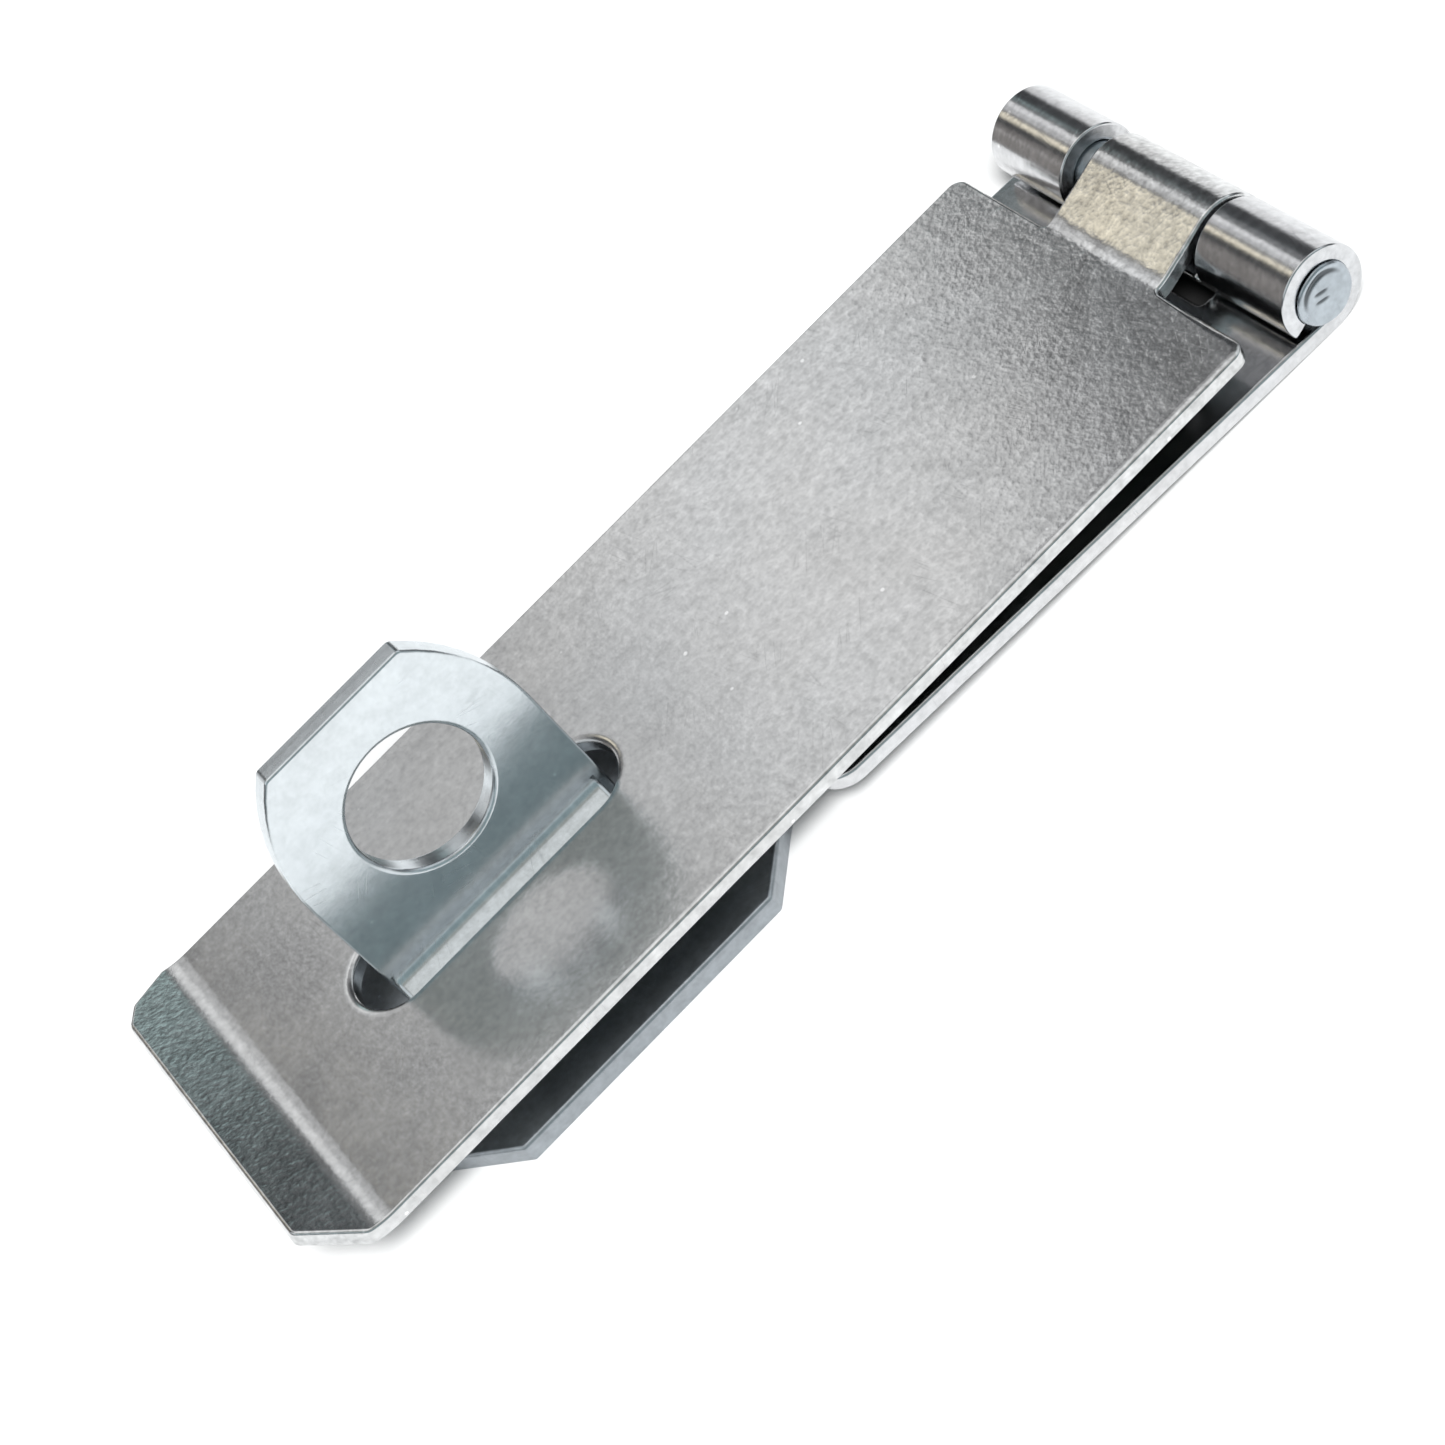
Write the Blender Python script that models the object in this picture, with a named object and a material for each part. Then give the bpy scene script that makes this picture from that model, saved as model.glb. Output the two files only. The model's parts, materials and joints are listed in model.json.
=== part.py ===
"""Hasp and staple in zinc-plated sheet steel, closed, as it lies on a bench.

Five pieces: a slotted strap with a turned-up tip, the leaf it is hinged to, the pin
that both are rolled round, and a staple made of a base plate and an eye riveted into it.

Metres, +Z up. +X runs along the strap towards the hinge, +Y across it. The origin is the
middle of the footprint, on the plane that the barrel and the staple's plate stand on.
"""

from math import acos, atan2, cos, hypot, pi, radians, sin, sqrt, tan

import bmesh
import bpy
from mathutils import Matrix

# Whole object
OVERALL_LENGTH = 0.1155
GAP = 0.0003  # between pieces that touch
ARC_STEP = radians(9.0)  # facet of every curve
EDGE_ANGLE = radians(30.0)  # sharper edges are shaded sharp

# Hinge barrel: both sheets are rolled to this outer radius round one pin
SHEET = 0.0016
BARREL_RADIUS = 0.0042
ROLL_RADIUS = BARREL_RADIUS - SHEET / 2  # to the middle of the sheet
BORE_RADIUS = BARREL_RADIUS - SHEET
BARREL_X = OVERALL_LENGTH / 2 - BARREL_RADIUS
BARREL_Z = BARREL_RADIUS

# Strap, measured from its shoulders, where the tongue starts
STRAP_WIDTH = 0.0393
SHOULDER_TO_AXIS = 0.0078
STRAP_TOP_OVER_AXIS = 0.0021
STRAP_CORNER = 0.0014
TONGUE_NEAR = -0.0080
TONGUE_FAR = 0.0070
TONGUE_BEND_RADIUS = 0.0060
STRAP_ROLL = radians(285.0)
TIP_ANGLE = radians(21.0)
TIP_BEND_RADIUS = 0.0040
TIP_LENGTH = 0.0050
TIP_CUT_ALONG = 0.0050
TIP_CUT_ACROSS = 0.0042
TIP_FAR_ALONG = 0.0013  # the far corner is cut twice, so it is rounder
TIP_FAR_ACROSS = 0.0021
SLOT_LENGTH = 0.0292
SLOT_WIDTH = 0.0081
SLOT_CENTRE = -0.0726

# Leaf, lying at a slight angle under the strap
LEAF_TILT = radians(2.8)
LEAF_WIDTH = 0.0394
LEAF_LENGTH = 0.0564  # from the barrel's axis to the free end
LEAF_CORNER = 0.0031
LEAF_ROLL = radians(300.0)
NOTCH_NEAR = -0.0085
NOTCH_FAR = 0.0095
NOTCH_FROM_AXIS = 0.0051
LEAF_SCREW_ROWS = (-0.0150, -0.0460)
LEAF_SCREW_Y = 0.0118

# Pin
PIN_RADIUS = BORE_RADIUS - 0.00008
PIN_HEAD_RADIUS = 0.0030
PIN_HEAD_HEIGHT = 0.00045
PIN_HEAD_GAP = 0.0001

# Screw holes, countersunk from the side that the screws go in
SCREW_HOLE_RADIUS = 0.0024
SINK_RADIUS = 0.0038
CUT_MARGIN = 0.001

# Staple plate
PLATE_THICKNESS = 0.0020
PLATE_LENGTH = 0.0405
PLATE_WIDTH = 0.0418
PLATE_CUT = 0.0064
STAPLE_FROM_SHOULDER = -0.0717
PLATE_SCREW_X = 0.0135
PLATE_SCREW_Y = 0.0118

# Staple eye, leaning back; heights run up its face from the level of the strap's top
EYE_THICKNESS = 0.0023
EYE_WIDTH = 0.0246
EYE_TOP = 0.0225
EYE_SHIFT = -0.00035  # from the plate's middle
EYE_SHOULDER_RADIUS = 0.0170
EYE_SHOULDER_HEIGHT = 0.0104
EYE_LEAN = radians(7.1)
EYE_FACE_Y = -0.00155
EYE_HOLE_RADIUS = 0.0065
EYE_HOLE_HEIGHT = 0.0110
EYE_HOLE_SHIFT = 0.0003  # from the eye's middle
TANG_WIDTH = 0.0050
TANG_X = 0.0070
TANG_END = 0.0003  # above the plate's back

SHOULDER_X = BARREL_X - SHOULDER_TO_AXIS
STRAP_TOP_Z = BARREL_Z + STRAP_TOP_OVER_AXIS
STAPLE_X = SHOULDER_X + STAPLE_FROM_SHOULDER


def clear_scene():
    for obj in list(bpy.data.objects):
        bpy.data.objects.remove(obj, do_unlink=True)


def zinc(name, colour, roughness):
    """Bright zinc plate: a bare metal, slightly bluer or greyer from piece to piece."""
    material = bpy.data.materials.new(name)
    material.use_nodes = True
    shader = material.node_tree.nodes["Principled BSDF"]
    shader.inputs["Base Color"].default_value = (*colour, 1.0)
    shader.inputs["Metallic"].default_value = 1.0
    shader.inputs["Roughness"].default_value = roughness
    return material


def add_object(name, bm, material):
    """Turn a bmesh into a named object, smooth except at its real edges."""
    bmesh.ops.recalc_face_normals(bm, faces=bm.faces)
    mesh = bpy.data.meshes.new(name)
    bm.to_mesh(mesh)
    bm.free()
    mesh.materials.append(material)
    mesh.shade_smooth()
    mesh.set_sharp_from_angle(angle=EDGE_ANGLE)
    obj = bpy.data.objects.new(name, mesh)
    bpy.context.scene.collection.objects.link(obj)
    return obj


def hide_cutter(obj):
    obj.hide_render = True
    obj.display_type = "WIRE"


def cut(obj, cutter):
    modifier = obj.modifiers.new(cutter.name, "BOOLEAN")
    modifier.operation = "DIFFERENCE"
    modifier.solver = "EXACT"
    modifier.object = cutter
    hide_cutter(cutter)


def arc_points(centre, radius, start, end):
    """Points on an arc, both ends included."""
    steps = max(1, round(abs(end - start) / ARC_STEP))
    turns = [start + (end - start) * i / steps for i in range(steps + 1)]
    return [(centre[0] + radius * cos(a), centre[1] + radius * sin(a)) for a in turns]


def extruded(outline, low, high):
    """A closed solid between two heights over a flat outline of (x, y) points."""
    bm = bmesh.new()
    ring = [bm.verts.new((x, y, low)) for x, y in outline]
    base = bm.faces.new(ring)
    grown = bmesh.ops.extrude_face_region(bm, geom=[base])
    top = [item for item in grown["geom"] if isinstance(item, bmesh.types.BMVert)]
    bmesh.ops.translate(bm, vec=(0.0, 0.0, high - low), verts=top)
    return bm


def turned(profile):
    """A solid of revolution about Z from (radius, height) points, closed at both ends."""
    bm = bmesh.new()
    points = [bm.verts.new((radius, 0.0, height)) for radius, height in profile]
    edges = [bm.edges.new(pair) for pair in zip(points, points[1:])]
    bmesh.ops.spin(
        bm,
        geom=points + edges,
        cent=(0.0, 0.0, 0.0),
        axis=(0.0, 0.0, 1.0),
        angle=2 * pi,
        steps=round(2 * pi / ARC_STEP),
        use_merge=True,
    )
    bmesh.ops.remove_doubles(bm, verts=bm.verts, dist=1e-6)
    return bm


def walk(segments, distance):
    """Place and heading after a distance along (length, turn) segments of a bent sheet."""
    x = z = heading = 0.0
    for length, turn in segments:
        part = min(distance, length)
        angle = turn * part / length
        if turn:
            radius = length / turn
            x += radius * (sin(heading + angle) - sin(heading))
            z += radius * (cos(heading) - cos(heading + angle))
        else:
            x += part * cos(heading)
            z += part * sin(heading)
        heading += angle
        distance -= part
    return x, z, heading


def bend_stations(segments):
    """Distances at which a blank is scored, so that each bend is made of flat strips."""
    stations = []
    start = 0.0
    for length, turn in segments:
        steps = max(1, round(abs(turn) / ARC_STEP))
        stations += [start + length * i / steps for i in range(steps)]
        start += length
    return stations


def fold(bm, segments, direction):
    """Bend the part of a flat blank on one side of x = 0 along the segments."""
    for station in bend_stations(segments):
        bmesh.ops.bisect_plane(
            bm,
            geom=bm.verts[:] + bm.edges[:] + bm.faces[:],
            dist=1e-7,
            plane_co=(direction * station, 0.0, 0.0),
            plane_no=(1.0, 0.0, 0.0),
        )
    for vert in bm.verts:
        distance = vert.co.x * direction
        if distance > 0.0:
            x, z, heading = walk(segments, distance)
            lift = vert.co.z
            vert.co.x = direction * (x - sin(heading) * lift)
            vert.co.z = z + cos(heading) * lift


def tongue_path():
    """From the shoulders: up at an easy angle, straight, then over and round the pin."""
    height = STRAP_TOP_OVER_AXIS - SHEET / 2
    rise_leg = TONGUE_BEND_RADIUS + height
    reach = hypot(SHOULDER_TO_AXIS, rise_leg)
    rise = atan2(SHOULDER_TO_AXIS, rise_leg) - acos((ROLL_RADIUS + TONGUE_BEND_RADIUS) / reach)
    straight = sqrt(reach**2 - (ROLL_RADIUS + TONGUE_BEND_RADIUS) ** 2)
    return [
        (TONGUE_BEND_RADIUS * rise, rise),
        (straight, 0.0),
        (ROLL_RADIUS * STRAP_ROLL, -STRAP_ROLL),
    ]


def tip_path():
    """From the shoulders the other way: the long flat, then the tip turned up."""
    middle = SHEET / 2
    end_reach = TIP_LENGTH * cos(TIP_ANGLE) + middle * sin(TIP_ANGLE)
    tip_reach = TIP_BEND_RADIUS * sin(TIP_ANGLE) + end_reach
    flat = SHOULDER_X + OVERALL_LENGTH / 2 - tip_reach
    return [(flat, 0.0), (TIP_BEND_RADIUS * TIP_ANGLE, TIP_ANGLE), (TIP_LENGTH, 0.0)]


def path_length(segments):
    return sum(length for length, turn in segments)


def strap_outline():
    """The strap's flat blank, x = 0 at its shoulders."""
    half = STRAP_WIDTH / 2
    tip = -path_length(tip_path())
    tongue = path_length(tongue_path())
    corner = STRAP_CORNER
    near = arc_points((-corner, -half + corner), corner, -pi / 2, 0.0)
    far = arc_points((-corner, half - corner), corner, 0.0, pi / 2)
    return [
        (tip, -half + TIP_CUT_ACROSS),
        (tip + TIP_CUT_ALONG, -half),
        *near,
        (0.0, TONGUE_NEAR),
        (tongue, TONGUE_NEAR),
        (tongue, TONGUE_FAR),
        (0.0, TONGUE_FAR),
        *far,
        (tip + TIP_CUT_ALONG, half),
        (tip + TIP_FAR_ALONG, half - TIP_FAR_ACROSS),
        (tip, half - TIP_CUT_ACROSS),
    ]


def slot_outline():
    radius = SLOT_WIDTH / 2
    reach = SLOT_LENGTH / 2 - radius
    right = arc_points((SLOT_CENTRE + reach, 0.0), radius, -pi / 2, pi / 2)
    left = arc_points((SLOT_CENTRE - reach, 0.0), radius, pi / 2, 3 * pi / 2)
    return right + left


def make_strap(material):
    """The hasp itself. Its origin is on the pin's axis."""
    bm = extruded(strap_outline(), -SHEET / 2, SHEET / 2)
    fold(bm, tongue_path(), 1.0)
    fold(bm, tip_path(), -1.0)
    middle_height = STRAP_TOP_OVER_AXIS - SHEET / 2
    bmesh.ops.translate(bm, vec=(-SHOULDER_TO_AXIS, 0.0, middle_height), verts=bm.verts)
    strap = add_object("hasp_strap", bm, material)
    strap.location = (BARREL_X, 0.0, BARREL_Z)

    bm = extruded(slot_outline(), -SHEET - CUT_MARGIN, CUT_MARGIN)
    slot = add_object("slot_cutter", bm, material)
    slot.parent = strap
    slot.location = (-SHOULDER_TO_AXIS, 0.0, STRAP_TOP_OVER_AXIS)
    cut(strap, slot)
    return strap


def leaf_path():
    """From under the axis: round the pin and back down to the leaf's own top."""
    return [(ROLL_RADIUS * LEAF_ROLL, LEAF_ROLL)]


def leaf_outline():
    """The leaf's flat blank, x = 0 under the barrel's axis, with two knuckle tabs."""
    half = LEAF_WIDTH / 2
    end = path_length(leaf_path())
    corner_x = -LEAF_LENGTH + LEAF_CORNER
    near = arc_points((corner_x, -half + LEAF_CORNER), LEAF_CORNER, -pi, -pi / 2)
    far = arc_points((corner_x, half - LEAF_CORNER), LEAF_CORNER, pi / 2, pi)
    return [
        *near,
        (end, -half),
        (end, NOTCH_NEAR),
        (-NOTCH_FROM_AXIS, NOTCH_NEAR),
        (-NOTCH_FROM_AXIS, NOTCH_FAR),
        (end, NOTCH_FAR),
        (end, half),
        *far,
    ]


def screw_cutter(name, thickness, material):
    """A countersunk hole's shape about Z, its mouth at z = 0 and its tail below."""
    slope = SINK_RADIUS - SCREW_HOLE_RADIUS
    bm = turned(
        [
            (0.0, CUT_MARGIN),
            (SINK_RADIUS + CUT_MARGIN, CUT_MARGIN),
            (SINK_RADIUS, 0.0),
            (SCREW_HOLE_RADIUS, -slope),
            (SCREW_HOLE_RADIUS, -thickness - CUT_MARGIN),
            (0.0, -thickness - CUT_MARGIN),
        ]
    )
    return add_object(name, bm, material)


def drill(obj, thickness, top, places, material):
    """Cut a countersunk screw hole at each (x, y) place in the object's own axes."""
    for number, (x, y) in enumerate(places):
        cutter = screw_cutter(f"{obj.name}_screw_cutter_{number}", thickness, material)
        cutter.parent = obj
        cutter.location = (x, y, top)
        cut(obj, cutter)


def make_leaf(material):
    """The leaf that is screwed to the door. Its origin is on the pin's axis."""
    bm = extruded(leaf_outline(), -SHEET / 2, SHEET / 2)
    fold(bm, leaf_path(), 1.0)
    bmesh.ops.translate(bm, vec=(0.0, 0.0, -ROLL_RADIUS), verts=bm.verts)
    leaf = add_object("hinge_leaf", bm, material)
    leaf.location = (BARREL_X, 0.0, BARREL_Z)
    leaf.rotation_euler = (0.0, LEAF_TILT, 0.0)
    places = [(x, y) for x in LEAF_SCREW_ROWS for y in (-LEAF_SCREW_Y, LEAF_SCREW_Y)]
    drill(leaf, SHEET, SHEET - BARREL_RADIUS, places, material)
    return leaf


def make_pin(leaf, material):
    """A plain pin, peened over the ends of the leaf's two knuckles."""
    reach = LEAF_WIDTH / 2 + PIN_HEAD_GAP
    crown = [(PIN_HEAD_RADIUS, reach), (PIN_HEAD_RADIUS, reach + PIN_HEAD_HEIGHT * 0.4)]
    crown += [(PIN_HEAD_RADIUS * 0.75, reach + PIN_HEAD_HEIGHT), (0.0, reach + PIN_HEAD_HEIGHT)]
    top = [(PIN_RADIUS, reach), *crown]
    bottom = [(radius, -height) for radius, height in reversed(top)]
    bm = turned(bottom + top)
    bmesh.ops.rotate(bm, matrix=Matrix.Rotation(pi / 2, 3, "X"), verts=bm.verts)
    pin = add_object("hinge_pin", bm, material)
    pin.parent = leaf
    return pin


def plate_outline():
    half_x = PLATE_LENGTH / 2
    half_y = PLATE_WIDTH / 2
    corners = []
    for sx, sy in ((1, 1), (-1, 1), (-1, -1), (1, -1)):
        pair = [(sx * half_x, sy * (half_y - PLATE_CUT)), (sx * (half_x - PLATE_CUT), sy * half_y)]
        corners += pair if sx == sy else reversed(pair)
    return corners


def tang_middle_y(height):
    """Where the eye's middle plane stands at a height over the plate's back."""
    face_y = EYE_FACE_Y + (height - STRAP_TOP_Z) * tan(EYE_LEAN)
    return face_y + EYE_THICKNESS / 2 / cos(EYE_LEAN)


def make_plate(material):
    """The staple's base, with screw holes and the two slots its eye is riveted into."""
    bm = extruded(plate_outline(), -PLATE_THICKNESS, 0.0)
    plate = add_object("staple_plate", bm, material)
    plate.location = (STAPLE_X, 0.0, PLATE_THICKNESS)
    places = [(sx * PLATE_SCREW_X, sy * PLATE_SCREW_Y) for sx in (-1, 1) for sy in (-1, 1)]
    drill(plate, PLATE_THICKNESS, 0.0, places, material)
    lean_run = PLATE_THICKNESS * tan(EYE_LEAN)
    half_x = TANG_WIDTH / 2 + GAP
    half_y = EYE_THICKNESS / 2 / cos(EYE_LEAN) + lean_run / 2 + GAP
    middle_y = tang_middle_y(PLATE_THICKNESS / 2)
    for side, name in ((-1, "tang_cutter_left"), (1, "tang_cutter_right")):
        box = [(-half_x, -half_y), (half_x, -half_y), (half_x, half_y), (-half_x, half_y)]
        bm = extruded(box, -PLATE_THICKNESS - CUT_MARGIN, CUT_MARGIN)
        cutter = add_object(name, bm, material)
        cutter.parent = plate
        cutter.location = (EYE_SHIFT + side * TANG_X, middle_y, 0.0)
        cut(plate, cutter)
    return plate


def eye_outline():
    """The eye seen square on: x across, y up its face from the strap's top."""
    half = EYE_WIDTH / 2
    foot = (PLATE_THICKNESS + GAP - STRAP_TOP_Z) / cos(EYE_LEAN) + EYE_THICKNESS * tan(EYE_LEAN)
    tang = (TANG_END - STRAP_TOP_Z) / cos(EYE_LEAN) + EYE_THICKNESS * tan(EYE_LEAN)
    centre_x = half - EYE_SHOULDER_RADIUS
    end = atan2(EYE_TOP - EYE_SHOULDER_HEIGHT, top_half_width() - centre_x)
    right = arc_points((centre_x, EYE_SHOULDER_HEIGHT), EYE_SHOULDER_RADIUS, 0.0, end)
    left = [(-x, y) for x, y in reversed(right)]
    feet = []
    for side in (-1, 1):
        for edge in (-1, 1):
            x = side * TANG_X + edge * TANG_WIDTH / 2
            pair = [(x, foot), (x, tang)]
            feet += pair if edge < 0 else reversed(pair)
    return [(-half, foot), *feet, (half, foot), *right, *left]


def top_half_width():
    rise = EYE_TOP - EYE_SHOULDER_HEIGHT
    return EYE_WIDTH / 2 - EYE_SHOULDER_RADIUS + sqrt(EYE_SHOULDER_RADIUS**2 - rise**2)


def make_eye(material):
    """The eye that takes the padlock. Its back is local z = 0 and its face is in front."""
    bm = extruded(eye_outline(), 0.0, EYE_THICKNESS)
    bmesh.ops.translate(bm, vec=(0.0, 0.0, -EYE_THICKNESS), verts=bm.verts)
    eye = add_object("staple_eye", bm, material)
    eye.location = (STAPLE_X + EYE_SHIFT, EYE_FACE_Y, STRAP_TOP_Z)
    eye.rotation_euler = (pi / 2 - EYE_LEAN, 0.0, 0.0)
    circle = arc_points((EYE_HOLE_SHIFT, EYE_HOLE_HEIGHT), EYE_HOLE_RADIUS, 0.0, 2 * pi)[:-1]
    bm = extruded(circle, -EYE_THICKNESS - CUT_MARGIN, CUT_MARGIN)
    cutter = add_object("eye_hole_cutter", bm, material)
    cutter.parent = eye
    cut(eye, cutter)
    return eye


def build():
    clear_scene()
    make_strap(zinc("zinc_strap", (0.62, 0.62, 0.61), 0.28))
    leaf = make_leaf(zinc("zinc_leaf", (0.64, 0.67, 0.68), 0.28))
    make_pin(leaf, zinc("zinc_pin", (0.66, 0.69, 0.71), 0.24))
    make_plate(zinc("zinc_plate", (0.62, 0.65, 0.67), 0.26))
    make_eye(zinc("zinc_eye", (0.66, 0.71, 0.72), 0.24))


build()
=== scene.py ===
"""Looks for the hasp and staple: five pieces of bright zinc plated steel, closed, on a pale floor.

Each CAD node is replaced by a finer piece of the same size and in the same place. The four
sheet pieces are made as their flat blanks, with the rounded upper edge and the torn lower
edge that shearing leaves, and are then bent along the same paths as the CAD solids.
"""

import json
from math import acos, atan2, ceil, cos, exp, hypot, pi, radians, sin, sqrt, tan
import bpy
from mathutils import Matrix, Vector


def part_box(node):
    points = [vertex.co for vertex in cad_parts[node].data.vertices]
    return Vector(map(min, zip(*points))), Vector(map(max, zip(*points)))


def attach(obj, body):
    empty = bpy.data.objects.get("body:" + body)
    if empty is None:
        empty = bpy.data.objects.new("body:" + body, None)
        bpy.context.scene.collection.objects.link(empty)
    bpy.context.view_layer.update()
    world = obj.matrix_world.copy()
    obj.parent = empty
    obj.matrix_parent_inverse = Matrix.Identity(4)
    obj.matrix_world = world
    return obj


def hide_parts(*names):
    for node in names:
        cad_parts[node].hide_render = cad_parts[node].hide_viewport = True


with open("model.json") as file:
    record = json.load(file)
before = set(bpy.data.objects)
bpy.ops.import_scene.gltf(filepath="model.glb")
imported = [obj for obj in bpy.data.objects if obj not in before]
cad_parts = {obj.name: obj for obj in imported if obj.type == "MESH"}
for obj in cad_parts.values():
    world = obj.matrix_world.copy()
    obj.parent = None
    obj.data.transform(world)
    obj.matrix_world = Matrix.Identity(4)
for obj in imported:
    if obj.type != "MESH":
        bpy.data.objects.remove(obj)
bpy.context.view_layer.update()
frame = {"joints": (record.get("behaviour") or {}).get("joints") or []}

from types import SimpleNamespace

import bpy
import numpy as np
from mathutils import Matrix, Vector
from mathutils.geometry import delaunay_2d_cdt

MM = 0.001
ARC_STEP = radians(6.0)
BEND_STEP = radians(5.0)
SAME_POINT = 1e-7
STATION_GAP = 0.1 * MM  # how far a score line stays off a rounded corner
CAP_TOLERANCE = 1e-6  # in millimetres, for the triangles over a flat face

# Sheared edges
EDGE_STEPS = 6
TEAR_HEIGHT = -0.1  # where the torn zone begins, as a part of half the thickness
TEAR_LIP = 0.05 * MM

# Countersunk screw holes
SCREW_HOLE_RADIUS = 0.0024
SINK_RADIUS = 0.0038
SINK_STEPS = 3
SINK_RIM = 0.10 * MM
SINK_BACK = 0.08 * MM
SINK_FOOT = 0.06 * MM
SINK_WALL = 0.03 * MM
CONE_EDGE = 0.4  # how much the cone counts as a cut edge

# Hinge barrel
SHEET = 0.0016
BARREL_RADIUS = 0.0042
ROLL_RADIUS = BARREL_RADIUS - SHEET / 2
BORE_RADIUS = BARREL_RADIUS - SHEET

# Strap, measured from its shoulders
SHOULDER_TO_AXIS = 0.0078
STRAP_TOP_OVER_AXIS = 0.0021
STRAP_CORNER = 0.0014
TONGUE_NEAR = -0.0080
TONGUE_FAR = 0.0070
TONGUE_CORNER = 0.60 * MM
TONGUE_ROOT = 0.55 * MM
TONGUE_BEND_RADIUS = 0.0060
STRAP_ROLL = radians(285.0)
TIP_ANGLE = radians(21.0)
TIP_BEND_RADIUS = 0.0082
TIP_LENGTH = 0.0047
TIP_CUT_ALONG = 0.0050
TIP_CUT_ACROSS = 0.0042
TIP_FAR_ALONG = 0.0013
TIP_FAR_ACROSS = 0.0021
TIP_NEAR_ROUND = 0.9 * MM
CUT_ROUND = 1.2 * MM
SLOT_LENGTH = 0.0292
SLOT_WIDTH = 0.0081
SLOT_CENTRE = -0.0726
SLOT_ROLL = 2.6  # how much wider than a plain edge the punched slot is rounded
HAMMERED_ROLL = 1.9  # how much wider by, at the hammered near shoulder
TIP_WORKED = 0.7  # how rough the worked skin is on the tip, where 1 is the tongue

# Leaf, measured from the barrel's axis
LEAF_TILT = radians(2.8)
LEAF_LENGTH = 0.0564
LEAF_CORNER = 0.0031
LEAF_ROLL = radians(300.0)
KNUCKLE_CORNER = 0.45 * MM
NOTCH_ROUND = 0.5 * MM
NOTCH_NEAR = -0.0085
NOTCH_FAR = 0.0095
NOTCH_FROM_AXIS = 0.0051
LEAF_SCREW_ROWS = (-0.0150, -0.0460)
LEAF_SCREW_Y = 0.0118

# Pin
PIN_RADIUS = BORE_RADIUS - 0.00008
PIN_SIDES = 150
PIN_HEAD_RADIUS = 0.0028
PIN_HEAD_RISE = 0.45 * MM
PIN_HEAD_CROWN = 0.12 * MM
PIN_RIM = 0.42 * MM
PIN_RIM_INSET = 0.09 * MM
PIN_RIM_DROP = 0.34 * MM
PIN_NECK_FLARE = 0.05 * MM
PIN_NECK_LENGTH = 0.06 * MM
DENT_DEPTH = 0.00011

# The two short dashes and the ring that the hammer left on each head; their depth also darkens the
# colour there as painted shade
DASH_COS = cos(radians(-14.0))
DASH_SIN = sin(radians(-14.0))
DASH_BACK = 0.45 * MM
DASH_RISE = 0.35 * MM
DASH_APART = 0.4 * MM
DASH_HALF_LENGTH = 0.75 * MM
DASH_HALF_WIDTH = 0.19 * MM
RING_RADIUS = 2.15 * MM
RING_HALF_WIDTH = 0.28 * MM
RING_TURN = radians(10.0)
RING_DEPTH = 1.5  # in depths of a dash

# Zinc
ZINC_RELIEF = 2e-5  # how deep the relief of the grain is

# Staple
PLATE_CUT = 0.0064
PLATE_CORNER = 0.5 * MM
PLATE_SCREW_X = 0.0135
PLATE_SCREW_Y = 0.0118
EYE_THICKNESS = 0.0023
EYE_WIDTH = 0.0246
EYE_TOP = 0.0225
EYE_TOP_ROUND = 0.7 * MM
EYE_FOOT_ROUND = 0.6 * MM
EYE_FOOT_GAP = 0.3 * MM  # how far the eye's foot stays clear of the plate
EYE_SHOULDER_RADIUS = 0.0170
EYE_SHOULDER_HEIGHT = 0.0104
EYE_LEAN = radians(7.1)
EYE_FACE_Y = -0.00155
EYE_HOLE_RADIUS = 0.0064
EYE_HOLE_HEIGHT = 0.0110
EYE_HOLE_SHIFT = 0.0003
TANG_WIDTH = 0.0050
TANG_X = 0.0070
TANG_END = 0.0001
TANG_ROUND = 0.4 * MM
TANG_HOLE_ROUND = 0.3 * MM
TANG_CLEARANCE = 0.0001

# The swelling along the foot of the eye's face
LEDGE_LEFT = -0.0121
LEDGE_RIGHT = 0.0115
LEDGE_REACH = 0.0021
LEDGE_DEPTH = 0.4 * MM  # how far its back lies inside the eye
LEDGE_FOOT_GAP = 0.3 * MM  # how far over the eye's foot it ends
LEDGE_START = 0.0005  # height over the strap at which the face begins to swell
LEDGE_HOLLOW = 0.0015  # radius between the face and the slope
LEDGE_SLOPE = radians(51.5)  # between the slope and the face
LEDGE_ROUND = 0.0003  # radius of the slope's front edge
LEDGE_END_ROUND = 0.0005
LEDGE_STRAIN = 0.2

# Camera
CAMERA_LENS = 81.54
CAMERA_SENSOR = 36.0
CAMERA_ELEVATION = radians(44.62)
CAMERA_HEADING = radians(5.37)
CAMERA_ROLL = radians(-41.56)
CAMERA_AIM = Vector((-0.0045, -0.0075, 0.0063))
CAMERA_DISTANCE = 0.266

# Studio
ROOM = (0.062, 0.064, 0.068)
BACKDROP = (0.93, 0.935, 0.94)
FLOOR_HALF = 2.5
FLOOR_TONES = (0.66, 0.675)
FLOOR_PAINTED_SHADOW = 0.03  # painted shadow: how much of the floor's tone is left under the leaf
FLOOR_SHADOW_INSET = (-5.0 * MM, -3.0 * MM)  # the painted shadow fades in between these, from the leaf's outline
FLOOR_LIGHT = 4.85
FLOOR_LIGHT_ANGLE = radians(24.0)
FLOOR_LIGHT_ELEVATION = radians(55.0)
WHITE = (1.0, 1.0, 1.0)
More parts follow.
